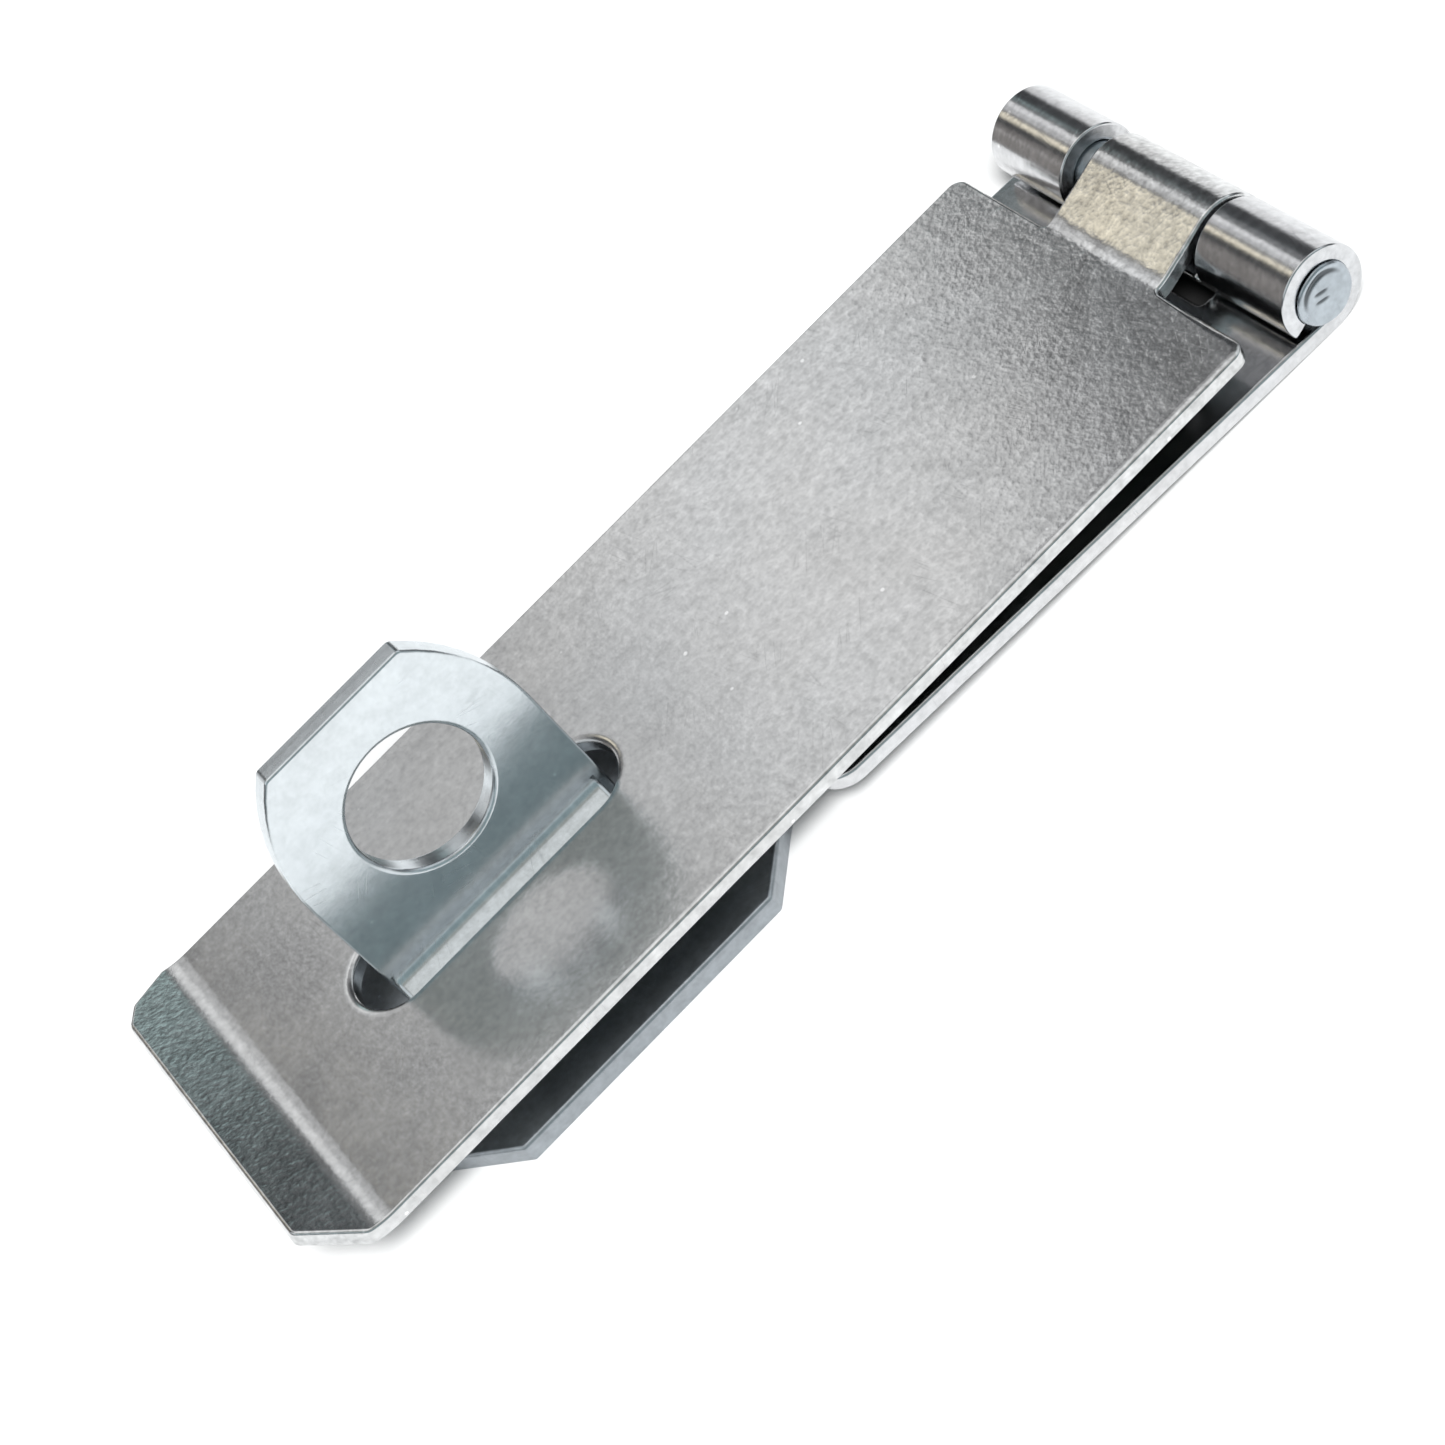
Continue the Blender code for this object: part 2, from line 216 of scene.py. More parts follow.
# Soft panels: azimuth from +Y towards +X, and elevation, in degrees.
# (azimuth, half width, elevation, half height, softness, colour, strength)
PANELS = (
    # Ahead of the viewer, at the height that the flat upper faces mirror
    (5.4, 11.1, 42.0, 24.0, 2.0, WHITE, 0.50),
    (10.8, 5.7, 46.0, 18.0, 2.0, WHITE, 0.39),
    (-12.0, 10.0, 42.0, 16.0, 6.0, WHITE, 0.16),
    (-18.5, 5.0, 43.0, 6.0, 3.0, (1.0, 0.90, 0.68), 1.1),
    (22.0, 4.0, 29.0, 6.0, 3.0, (0.74, 1.0, 0.99), 0.74),
    (21.0, 4.5, 44.0, 8.0, 5.0, WHITE, 0.06),
    (27.0, 3.5, 46.5, 5.0, 3.0, (1.0, 0.98, 1.02), 0.22),
    # Ahead and low
    (-45.0, 14.0, 18.0, 16.0, 8.0, (1.0, 0.9, 0.82), 0.18),
    (-29.0, 8.0, 10.0, 12.0, 4.0, WHITE, 0.6),
    (50.0, 10.0, 6.0, 14.0, 4.0, WHITE, 0.9),
    # Overhead
    (0.0, 180.0, 90.0, 19.0, 8.0, WHITE, 1.0),
    (0.0, 110.0, 64.0, 8.0, 6.0, WHITE, 0.4),
    # To the left and right
    (-90.0, 32.0, 42.0, 20.0, 12.0, (0.93, 0.98, 1.0), 0.7),
    (95.0, 28.0, 42.0, 20.0, 12.0, (0.93, 0.98, 1.0), 0.7),
    # Behind the viewer, which the eye's near face mirrors
    (180.0, 60.0, 28.0, 22.0, 10.0, (0.75, 1.0, 1.04), 0.27),
    (180.0, 60.0, 60.0, 12.0, 8.0, (1.0, 0.99, 0.90), 0.31),
    (180.0, 60.0, 4.0, 10.0, 6.0, WHITE, 0.3),
)


# -------------------------------- flat outlines

def turned_normal(normal, angle):
    return Vector((
        normal.x * cos(angle) - normal.y * sin(angle),
        normal.x * sin(angle) + normal.y * cos(angle),
    ))


def rounded_loop(corners):
    """Points (x, y, nx, ny) round (x, y, radius) corners, with the metal on the left.

    The normal points out of the metal. A corner of no radius is a point of a smooth curve.
    """
    points = []
    count = len(corners)
    for index, (x, y, radius) in enumerate(corners):
        here = Vector((x, y))
        before = (here - Vector(corners[index - 1][:2])).normalized()
        after = (Vector(corners[(index + 1) % count][:2]) - here).normalized()
        turn = atan2(before.x * after.y - before.y * after.x, before.dot(after))
        out = Vector((before.y, -before.x))
        if radius == 0.0:
            points.append((here, turned_normal(out, turn / 2)))
            continue
        side = 1.0 if turn > 0 else -1.0
        centre = here - before * (radius * tan(abs(turn) / 2)) - out * (radius * side)
        steps = max(2, ceil(abs(turn) / ARC_STEP))
        for step in range(steps + 1):
            normal = turned_normal(out, turn * step / steps)
            points.append((centre + normal * (radius * side), normal))
    kept = []
    for index, (point, normal) in enumerate(points):
        if (point - points[index - 1][0]).length > SAME_POINT:
            kept.append((point.x, point.y, normal.x, normal.y))
    return kept


def circle_loop(x, y, radius):
    """A round hole: a square whose corners are rounded until nothing straight is left."""
    box = ((-1, -1), (-1, 1), (1, 1), (1, -1))
    return rounded_loop([(x + i * radius, y + j * radius, radius) for i, j in box])


def arc_corners(centre, radius, start, end):
    """Smooth corners along an arc, both ends included."""
    steps = max(2, ceil(abs(end - start) / ARC_STEP))
    turns = [start + (end - start) * i / steps for i in range(steps + 1)]
    return [(centre[0] + radius * cos(a), centre[1] + radius * sin(a), 0.0) for a in turns]


def scored(loop, stations):
    """The loop with a point added wherever it crosses one of the stations in x."""
    result = []
    for here, there in zip(loop, loop[1:] + loop[:1]):
        result.append(here)
        crossed = [
            s for s in stations
            if (here[0] - s) * (there[0] - s) < 0
            and min(abs(here[0] - s), abs(there[0] - s)) > SAME_POINT
        ]
        for station in sorted(crossed, reverse=there[0] < here[0]):
            part = (station - here[0]) / (there[0] - here[0])
            mixed = [a + (b - a) * part for a, b in zip(here, there)]
            size = hypot(mixed[2], mixed[3])
            result.append((station, mixed[1], mixed[2] / size, mixed[3] / size))
    return result


# -------------------------------- edge profiles

def foot_rings(half, inset, radius, steps):
    """Rings round the lower corner of an edge, from the end of its wall to the back."""
    rings = []
    for step in range(steps + 1):
        angle = pi / 2 * (1 - step / steps)
        across = inset + radius * (1 - sin(angle))
        height = -half + radius * (1 - cos(angle))
        rings.append((across, height, sin(angle), -cos(angle), 1 - step / steps))
    return rings


def sheared_edge(thickness, top_round, foot_round, taper):
    """Rings down a sheared edge: (inset, height, out, up, edge) from the top face to the back."""
    half = thickness / 2
    rings = []
    for step in range(EDGE_STEPS + 1):
        angle = pi / 2 * step / EDGE_STEPS
        inset = top_round * (1 - sin(angle))
        height = half - top_round * (1 - cos(angle))
        rings.append((inset, height, sin(angle), cos(angle), step / EDGE_STEPS))
    tear = TEAR_HEIGHT * half
    slope = taper / (tear + half - foot_round)
    size = hypot(1.0, slope)
    rings.append((0.0, tear, 1.0, 0.0, 1.0))
    rings.append((slope * TEAR_LIP, tear - TEAR_LIP, 1.0 / size, -slope / size, 1.0))
    return rings + foot_rings(half, taper, foot_round, EDGE_STEPS)


def countersink(thickness):
    """Rings down a countersunk hole, from the rim of the cone to the back of the sheet."""
    half = thickness / 2
    depth = SINK_RADIUS - SCREW_HOLE_RADIUS
    run = SINK_RIM * tan(pi / 8)
    rings = []
    for step in range(SINK_STEPS + 1):
        angle = pi / 4 * step / SINK_STEPS
        inset = depth + run - SINK_RIM * sin(angle)
        height = half - SINK_RIM * (1 - cos(angle))
        rings.append((inset, height, sin(angle), cos(angle), step / SINK_STEPS * CONE_EDGE))
    cone = sqrt(0.5)
    rings.append((SINK_FOOT, half - depth + SINK_FOOT, cone, cone, CONE_EDGE))
    rings.append((0.0, half - depth - SINK_WALL, 1.0, 0.0, 1.0))
    return rings + foot_rings(half, 0.0, SINK_BACK, SINK_STEPS)


def screw_hole(x, y, thickness):
    """The loop and the edge profile of one countersunk hole."""
    return circle_loop(x, y, SCREW_HOLE_RADIUS), countersink(thickness)


# -------------------------------- bending

def walk(segments, distance):
    """Place and heading after a distance along (length, turn) segments of a bent sheet."""
    x = z = heading = 0.0
    for length, turn in segments:
        part = min(distance, length)
        angle = turn * part / length
        if turn:
            radius = length / turn
            x += radius * (sin(heading + angle) - sin(heading))
            z += radius * (cos(heading) - cos(heading + angle))
        else:
            x += part * cos(heading)
            z += part * sin(heading)
        heading += angle
        distance -= part
    return x, z, heading


def bend_stations(segments, direction):
    """The values of x at which a blank needs points, so that its bends come out round."""
    stations = []
    start = 0.0
    for length, turn in segments:
        steps = max(1, ceil(abs(turn) / BEND_STEP))
        stations += [direction * (start + length * i / steps) for i in range(steps)]
        start += length
    return stations


def bent(paths, x, lift):
    """Where a point of a blank comes to lie, and the signed heading of the sheet there."""
    for direction, segments in paths:
        if x * direction > 0.0:
            far, high, heading = walk(segments, x * direction)
            across = direction * (far - sin(heading) * lift)
            return across, high + cos(heading) * lift, direction * heading
    return x, lift, 0.0


# -------------------------------- flat faces

def outline_edges(loops):
    """The edges along the loops, by the numbers of their points."""
    edges = []
    first = 0
    for outline, _ in loops:
        count = len(outline)
        edges += [(first + i, first + (i + 1) % count) for i in range(count)]
        first += count
    return edges


def station_edges(loops, points, station_count):
    """The edges across the metal along each station, with the holes left out."""
    flagged = [flag for _, flags in loops for flag in flags]
    edges = []
    for station in range(station_count):
        on_line = [i for i, flag in enumerate(flagged) if flag == station]
        on_line.sort(key=lambda i: points[i][1])
        edges += list(zip(on_line[0::2], on_line[1::2]))
    return edges


def in_metal(places, loops):
    """Which of the places lie inside the outline and outside the holes."""
    inside = np.zeros(len(places), bool)
    for outline, _ in loops:
        ring = np.array(outline)
        for (ax, ay), (bx, by) in zip(ring, np.roll(ring, -1, axis=0)):
            if ay == by:
                continue
            spans = (ay > places[:, 1]) != (by > places[:, 1])
            reach = ax + (places[:, 1] - ay) * (bx - ax) / (by - ay)
            inside ^= spans & (places[:, 0] < reach)
    return inside


def cap_triangles(loops, stations):
    """Triangles over a flat face between loops of (x, y) points, scored at the stations."""
    points = [point for outline, _ in loops for point in outline]
    edges = outline_edges(loops) + station_edges(loops, points, len(stations))
    scaled = [Vector((x / MM, y / MM)) for x, y in points]
    result = delaunay_2d_cdt(scaled, edges, [], 0, CAP_TOLERANCE)
    if len(result[0]) != len(points):
        raise ValueError(f"the face was cut into {len(result[0])} points, not {len(points)}")
    source = [origin[0] for origin in result[3]]
    faces = [tuple(source[i] for i in face) for face in result[2]]
    corners = np.array(points)[np.array(faces)]
    inside = in_metal(corners.mean(axis=1), loops)
    legs = corners[:, 1:] - corners[:, :1]
    area = legs[:, 0, 0] * legs[:, 1, 1] - legs[:, 0, 1] * legs[:, 1, 0]
    return [
        face if turn > 0 else face[::-1]
        for face, turn, kept in zip(faces, area, inside)
        if kept
    ]


def station_flags(loop, stations):
    """For each point of a loop, the number of the station that it stands on, or None."""
    flags = []
    for x, _, _, ny in loop:
        near = [i for i, s in enumerate(stations) if abs(x - s) < SAME_POINT]
        flags.append(near[0] if near and abs(ny) > 0.5 else None)
    return flags


# -------------------------------- solid sheets

class Shell:
    """One closed skin: its points with their normals and attributes, and its faces."""

    def __init__(self):
        self.points = []
        self.normals = []
        self.edges = []
        self.strains = []
        self.blank = []
        self.faces = []

    def add(self, other):
        first = len(self.points)
        self.points += other.points
        self.normals += other.normals
        self.edges += other.edges
        self.strains += other.strains
        self.blank += other.blank
        self.faces += [tuple(first + i for i in face) for face in other.faces]


def band_faces(first, rings, count):
    """The four-sided faces between rings of count points each."""
    faces = []
    for ring in range(rings - 1):
        for i in range(count):
            a = first + ring * count + i
            b = first + ring * count + (i + 1) % count
            faces.append((a, a + count, b + count, b))
    return faces


def add_ring(shell, loop, ring, paths, place, widen):
    """Adds one ring of an edge profile, all round a loop, bent and put in place."""
    ring_inset, height, ring_out, ring_up, edge = ring
    turn = place.to_3x3()
    for x, y, nx, ny in loop:
        wide = widen(x, y) if widen and ring_up > 0.0 else 1.0
        inset = ring_inset * wide
        size = hypot(ring_out, ring_up * wide)
        out = ring_out / size
        up = ring_up * wide / size
        flat_x = x - inset * nx
        flat_y = y - inset * ny
        px, pz, heading = bent(paths, flat_x, height)
        shell.points.append(place @ Vector((px, flat_y, pz)))
        shell.normals.append(turn @ Vector((
            out * nx * cos(heading) - up * sin(heading),
            out * ny,
            out * nx * sin(heading) + up * cos(heading),
        )))
        shell.edges.append(edge)
        shell.blank.append((flat_x, flat_y, height))


def sheet_shell(walls, paths, stations, place, strain, widen=None):
    """A closed sheet from its walls of (loop, profile), bent along the paths and put in place.

    Where widen(x, y) is above 1, the upper edge is rounded over a wider strip.
    """
    shell = Shell()
    top_loops = []
    back_loops = []
    top_index = []
    back_index = []
    for loop, profile in walls:
        loop = scored(loop, stations)
        flags = station_flags(loop, stations)
        count = len(loop)
        top = len(shell.points)
        back = top + (len(profile) - 1) * count
        for ring in profile:
            add_ring(shell, loop, ring, paths, place, widen)
        shell.faces += band_faces(top, len(profile), count)
        top_loops.append(([point[:2] for point in shell.blank[top:top + count]], flags))
        back_loops.append(([point[:2] for point in shell.blank[back:back + count]], flags))
        top_index += range(top, top + count)
        back_index += range(back, back + count)
    for face in cap_triangles(top_loops, stations):
        shell.faces.append(tuple(top_index[i] for i in face))
    for face in cap_triangles(back_loops, stations):
        shell.faces.append(tuple(back_index[i] for i in reversed(face)))
    shell.strains = [strain(x) for x, _, _ in shell.blank]
    return shell


def add_attribute(mesh, label, values):
    mesh.attributes.new(label, "FLOAT", "POINT").data.foreach_set("value", values)


def add_blank_attribute(mesh, blank):
    """Stores where each point lies on the unbent metal, which the material is drawn on."""
    flat = [value for point in blank for value in point]
    mesh.attributes.new("blank", "FLOAT_VECTOR", "POINT").data.foreach_set("vector", flat)


def add_object(name, mesh):
    obj = bpy.data.objects.new(name, mesh)
    bpy.context.scene.collection.objects.link(obj)
    return obj


def make_piece(name, shells):
    """One object made of closed shells, shaded with their own normals."""
    whole = Shell()
    for shell in shells:
        whole.add(shell)
    mesh = bpy.data.meshes.new(name)
    mesh.from_pydata(whole.points, [], whole.faces)
    mesh.shade_smooth()
    add_attribute(mesh, "edge", whole.edges)
    add_attribute(mesh, "strain", whole.strains)
    add_blank_attribute(mesh, whole.blank)
    mesh.normals_split_custom_set_from_vertices([n.normalized() for n in whole.normals])
    return add_object(name, mesh)


def ramp(low, high, value):
    """0 below low, 1 above high, smooth between."""
    part = min(1.0, max(0.0, (value - low) / (high - low)))
    return part * part * (3 - 2 * part)


def unworked(x):
    """How rough the skin is on a sheet that is not bent: not at all."""
    return 0.0


# -------------------------------- strap

def tongue_path():
    """From the shoulders: up at an easy angle, straight, then over and round the pin."""
    height = STRAP_TOP_OVER_AXIS - SHEET / 2
    rise_leg = TONGUE_BEND_RADIUS + height
    reach = hypot(SHOULDER_TO_AXIS, rise_leg)
    rise = atan2(SHOULDER_TO_AXIS, rise_leg) - acos((ROLL_RADIUS + TONGUE_BEND_RADIUS) / reach)
    straight = sqrt(reach**2 - (ROLL_RADIUS + TONGUE_BEND_RADIUS) ** 2)
    return [
        (TONGUE_BEND_RADIUS * rise, rise),
        (straight, 0.0),
        (ROLL_RADIUS * STRAP_ROLL, -STRAP_ROLL),
    ]


def tip_path(shoulder_x, tip_x):
    """From the shoulders the other way: the long flat, then the tip turned up."""
    end_reach = TIP_LENGTH * cos(TIP_ANGLE) + SHEET / 2 * sin(TIP_ANGLE)
    tip_reach = TIP_BEND_RADIUS * sin(TIP_ANGLE) + end_reach
    flat = shoulder_x - tip_x - tip_reach
    return [(flat, 0.0), (TIP_BEND_RADIUS * TIP_ANGLE, TIP_ANGLE), (TIP_LENGTH, 0.0)]


def strap_outline(tip_end, end, half):
    """The flat strap: its tip with the cut corners, its shoulders and its tongue."""
    return rounded_loop([
        (tip_end, -half + TIP_CUT_ACROSS, TIP_NEAR_ROUND),
        (tip_end + TIP_CUT_ALONG, -half, CUT_ROUND),
        (0.0, -half, STRAP_CORNER),
        (0.0, TONGUE_NEAR, TONGUE_ROOT),
        (end, TONGUE_NEAR, TONGUE_CORNER),
        (end, TONGUE_FAR, TONGUE_CORNER),
        (0.0, TONGUE_FAR, TONGUE_ROOT),
        (0.0, half, STRAP_CORNER),
        (tip_end + TIP_CUT_ALONG, half, CUT_ROUND),
        (tip_end + TIP_FAR_ALONG, half - TIP_FAR_ACROSS, CUT_ROUND),
        (tip_end, half - TIP_CUT_ACROSS, CUT_ROUND),
    ])


def strap_slot():
    """The slot with its two round ends."""
    x0 = SLOT_CENTRE - SLOT_LENGTH / 2
    x1 = SLOT_CENTRE + SLOT_LENGTH / 2
    r = SLOT_WIDTH / 2
    return rounded_loop([(x0, -r, r), (x0, r, r), (x1, r, r), (x1, -r, r)])


def strap_stations(tongue, tip):
    """Where the strap bends, and where its flat part ends on both sides."""
    flat = tip[0][0]
    root = TONGUE_ROOT + STATION_GAP
    stations = [s for s in bend_stations(tongue, 1.0) if s > root]
    stations += [root, -STRAP_CORNER - 0.3 * MM]
    stations += [s for s in bend_stations(tip, -1.0) if s < -flat + STATION_GAP]
    stations.append(-flat + 1.0 * MM)
    return stations


def make_strap(axis):
    low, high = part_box("hasp_strap")
    half = (high.y - low.y) / 2
    shoulder_x = axis.x - SHOULDER_TO_AXIS
    tongue = tongue_path()
    tip = tip_path(shoulder_x, low.x)
    end = sum(length for length, _ in tongue)
    tip_end = -sum(length for length, _ in tip)
    bend_end = tip[0][0] + tip[1][0]
    outer_edge = sheared_edge(SHEET, top_round=0.32 * MM, foot_round=0.16 * MM, taper=0.04 * MM)
    slot_edge = sheared_edge(SHEET, top_round=0.34 * MM, foot_round=0.12 * MM, taper=0.04 * MM)
    walls = [(strap_outline(tip_end, end, half), outer_edge), (strap_slot(), slot_edge)]
    stations = strap_stations(tongue, tip)
    place = Matrix.Translation((shoulder_x, 0.0, axis.z + STRAP_TOP_OVER_AXIS - SHEET / 2))
    paths = [(1.0, tongue), (-1.0, tip)]

    def worked(x):
        """How rough the skin is: most on the tongue, less at the shoulders and on the tip."""
        shoulders = 0.5 * ramp(-0.026, -0.008, x) + 0.5 * ramp(-0.004, 0.002, x)
        return max(shoulders, TIP_WORKED * ramp(bend_end - 0.0009, bend_end - 0.0001, -x))

    def rolled(x, y):
        """How much wider the rounding is along the punched slot and at the hammered corner."""
        if abs(y) < SLOT_WIDTH and abs(x - SLOT_CENTRE) < SLOT_LENGTH:
            return SLOT_ROLL
        return 1.0 + (HAMMERED_ROLL * ramp(-0.012, -0.0005, x) if y < -half / 2 else 0.0)

    return make_piece("strap", [sheet_shell(walls, paths, stations, place, worked, rolled)])


# -------------------------------- leaf

def leaf_outline(end, half):
    """The flat leaf: its rounded corners, its two knuckles and the notch between them."""
    return rounded_loop([
        (-LEAF_LENGTH, -half, LEAF_CORNER),
        (end, -half, KNUCKLE_CORNER),
        (end, NOTCH_NEAR, KNUCKLE_CORNER),
        (-NOTCH_FROM_AXIS, NOTCH_NEAR, NOTCH_ROUND),
        (-NOTCH_FROM_AXIS, NOTCH_FAR, NOTCH_ROUND),
        (end, NOTCH_FAR, KNUCKLE_CORNER),
        (end, half, KNUCKLE_CORNER),
        (-LEAF_LENGTH, half, LEAF_CORNER),
    ])


def make_leaf(axis):
    low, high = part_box("hinge_leaf")
    half = (high.y - low.y) / 2
    path = [(ROLL_RADIUS * LEAF_ROLL, LEAF_ROLL)]
    end = path[0][0]
    stations = bend_stations(path, 1.0) + [-NOTCH_FROM_AXIS - 1.0 * MM, -2.0 * MM]
    edge = sheared_edge(SHEET, top_round=0.36 * MM, foot_round=0.22 * MM, taper=0.03 * MM)
    walls = [(leaf_outline(end, half), edge)]
    for x in LEAF_SCREW_ROWS:
        for y in (-LEAF_SCREW_Y, LEAF_SCREW_Y):
            walls.append(screw_hole(x, y, SHEET))
    turn = Matrix.Rotation(LEAF_TILT, 4, "Y")
    place = Matrix.Translation(axis) @ turn @ Matrix.Translation((0.0, 0.0, -ROLL_RADIUS))

    def worked(x):
        """How rough the skin is: a little on the rolled knuckles."""
        return 0.25 * ramp(-0.002, 0.002, x)

    return make_piece("leaf", [sheet_shell(walls, [(1.0, path)], stations, place, worked)])


# -------------------------------- staple

def plate_outline(half_x, half_y):
    """A rectangle with its four corners cut off."""
    cut_x = half_x - PLATE_CUT
    cut_y = half_y - PLATE_CUT
    corners = [
        (half_x, cut_y),
        (cut_x, half_y),
        (-cut_x, half_y),
        (-half_x, cut_y),
        (-half_x, -cut_y),
        (-cut_x, -half_y),
        (cut_x, -half_y),
        (half_x, -cut_y),
    ]
    return rounded_loop([(x, y, PLATE_CORNER) for x, y in corners])


def tang_middle_y(height):
    """Where the eye's middle plane stands at a height over the plate's back."""
    face_y = EYE_FACE_Y + (height - STRAP_TOP_Z) * tan(EYE_LEAN)
    return face_y + EYE_THICKNESS / 2 / cos(EYE_LEAN)


def tang_hole(x, thickness):
    """The upright hole in the plate that takes one of the eye's leaning tangs."""
    tang_x = TANG_WIDTH / 2 + TANG_CLEARANCE
    lean_run = thickness * tan(EYE_LEAN)
    tang_y = EYE_THICKNESS / 2 / cos(EYE_LEAN) + lean_run / 2 + TANG_CLEARANCE
    middle_y = tang_middle_y(thickness / 2)
    return rounded_loop([
        (x - tang_x, middle_y - tang_y, TANG_HOLE_ROUND),
        (x - tang_x, middle_y + tang_y, TANG_HOLE_ROUND),
        (x + tang_x, middle_y + tang_y, TANG_HOLE_ROUND),
        (x + tang_x, middle_y - tang_y, TANG_HOLE_ROUND),
    ])


def make_plate():
    low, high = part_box("staple_plate")
    eye_low, eye_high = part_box("staple_eye")
    thickness = high.z - low.z
    middle_x = (high.x + low.x) / 2
    eye_x = (eye_low.x + eye_high.x) / 2 - middle_x
    outline = plate_outline((high.x - low.x) / 2, (high.y - low.y) / 2)
    edge = sheared_edge(thickness, top_round=0.38 * MM, foot_round=0.16 * MM, taper=0.03 * MM)
    tang_edge = sheared_edge(thickness, top_round=0.15 * MM, foot_round=0.15 * MM, taper=0.0)
    walls = [(outline, edge)]
    for sx in (-1, 1):
        for sy in (-1, 1):
            walls.append(screw_hole(sx * PLATE_SCREW_X, sy * PLATE_SCREW_Y, thickness))
    for side in (-1, 1):
        walls.append((tang_hole(eye_x + side * TANG_X, thickness), tang_edge))
    place = Matrix.Translation((middle_x, 0.0, (low.z + high.z) / 2))
    return make_piece("plate", [sheet_shell(walls, [], [], place, unworked)])


def eye_outline(foot, tang):
    """The eye seen square on: two tangs below, rounded shoulders and a short flat top."""
    half = EYE_WIDTH / 2
    rise = EYE_TOP - EYE_SHOULDER_HEIGHT
    centre_x = half - EYE_SHOULDER_RADIUS
    top_half = centre_x + sqrt(EYE_SHOULDER_RADIUS**2 - rise**2)
    end = atan2(rise, top_half - centre_x)
    shoulder = arc_corners((centre_x, EYE_SHOULDER_HEIGHT), EYE_SHOULDER_RADIUS, 0.0, end)
    right = shoulder[:-1] + [(top_half, EYE_TOP, EYE_TOP_ROUND)]
    left = [(-x, y, r) for x, y, r in reversed(right)]
    feet = []
    for side in (-1, 1):
        for edge in (-1, 1):
            x = side * TANG_X + edge * TANG_WIDTH / 2
            pair = [(x, foot, TANG_ROUND), (x, tang, TANG_ROUND)]
            feet += pair if edge < 0 else reversed(pair)
    near_foot = (-half, foot, EYE_FOOT_ROUND)
    far_foot = (half, foot, EYE_FOOT_ROUND)
    return rounded_loop([near_foot, *feet, far_foot, *right, *left])


def make_eye():
    low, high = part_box("staple_eye")
    plate_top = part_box("staple_plate")[1].z
    behind = EYE_THICKNESS * tan(EYE_LEAN)
    foot = (plate_top + EYE_FOOT_GAP - STRAP_TOP_Z) / cos(EYE_LEAN) + behind
    tang = (TANG_END - STRAP_TOP_Z) / cos(EYE_LEAN) + behind
    hole = circle_loop(EYE_HOLE_SHIFT, EYE_HOLE_HEIGHT, EYE_HOLE_RADIUS)
    outer = {"top_round": 0.30 * MM, "foot_round": 0.26 * MM, "taper": 0.03 * MM}
    inner = {"top_round": 0.45 * MM, "foot_round": 0.35 * MM, "taper": 0.03 * MM}
    walls = [
        (eye_outline(foot, tang), sheared_edge(EYE_THICKNESS, **outer)),
        (hole, sheared_edge(EYE_THICKNESS, **inner)),
    ]
    face = Matrix.Translation(((low.x + high.x) / 2, EYE_FACE_Y, STRAP_TOP_Z))
    face = face @ Matrix.Rotation(pi / 2 - EYE_LEAN, 4, "X")
    middle = face @ Matrix.Translation((0.0, 0.0, -EYE_THICKNESS / 2))
    return make_piece("eye", [
        sheet_shell(walls, [], [], middle, unworked),
        ledge_shell(foot + LEDGE_FOOT_GAP, face),
    ])


# -------------------------------- swelling at the eye's foot

def ledge_section(low):
    """The swelling's section, as (out of the face, up the face) points, from its back round its top."""
    section = [(-LEDGE_DEPTH, low), (-LEDGE_DEPTH, LEDGE_START + 0.7 * MM)]
    # Above its start it runs just inside the eye's own face.
    section += [(-0.016 * MM, LEDGE_START + 0.6 * MM), (-0.004 * MM, LEDGE_START + 0.2 * MM)]
    hollow_steps = 12
    for step in range(hollow_steps + 1):
        angle = LEDGE_SLOPE * step / hollow_steps
        section.append((LEDGE_HOLLOW * (1 - cos(angle)), LEDGE_START - LEDGE_HOLLOW * sin(angle)))
    out, up = section[-1]
    knee = LEDGE_REACH - LEDGE_ROUND * (1 - cos(LEDGE_SLOPE))
    fall = (knee - out) / tan(LEDGE_SLOPE)
    steps = 6
    for step in range(1, steps + 1):
        section.append((out + (knee - out) * step / steps, up - fall * step / steps))
    for step in range(1, steps + 1):
        angle = LEDGE_SLOPE * (1 - step / steps)
        across = LEDGE_REACH - LEDGE_ROUND * (1 - cos(angle))
        section.append((across, up - fall - LEDGE_ROUND * (sin(LEDGE_SLOPE) - sin(angle))))
    section.append((LEDGE_REACH, low))
    return section


def ledge_stops(length):
    """Places along the swelling, close together where its two ends are rounded."""
    steps = 8
    ends = [LEDGE_END_ROUND * (1 - cos(pi / 2 * i / steps)) for i in range(steps)]
    middle = list(np.linspace(LEDGE_END_ROUND, length - LEDGE_END_ROUND, 30))
    return ends + middle + [length - stop for stop in reversed(ends)]


def smooth_normals(points, faces):
    """The averaged normals that a mesh of these points and faces has."""
    mesh = bpy.data.meshes.new("normals")
    mesh.from_pydata(points, [], faces)
    normals = [Vector(normal.vector) for normal in mesh.vertex_normals]
    bpy.data.meshes.remove(mesh)
    return normals


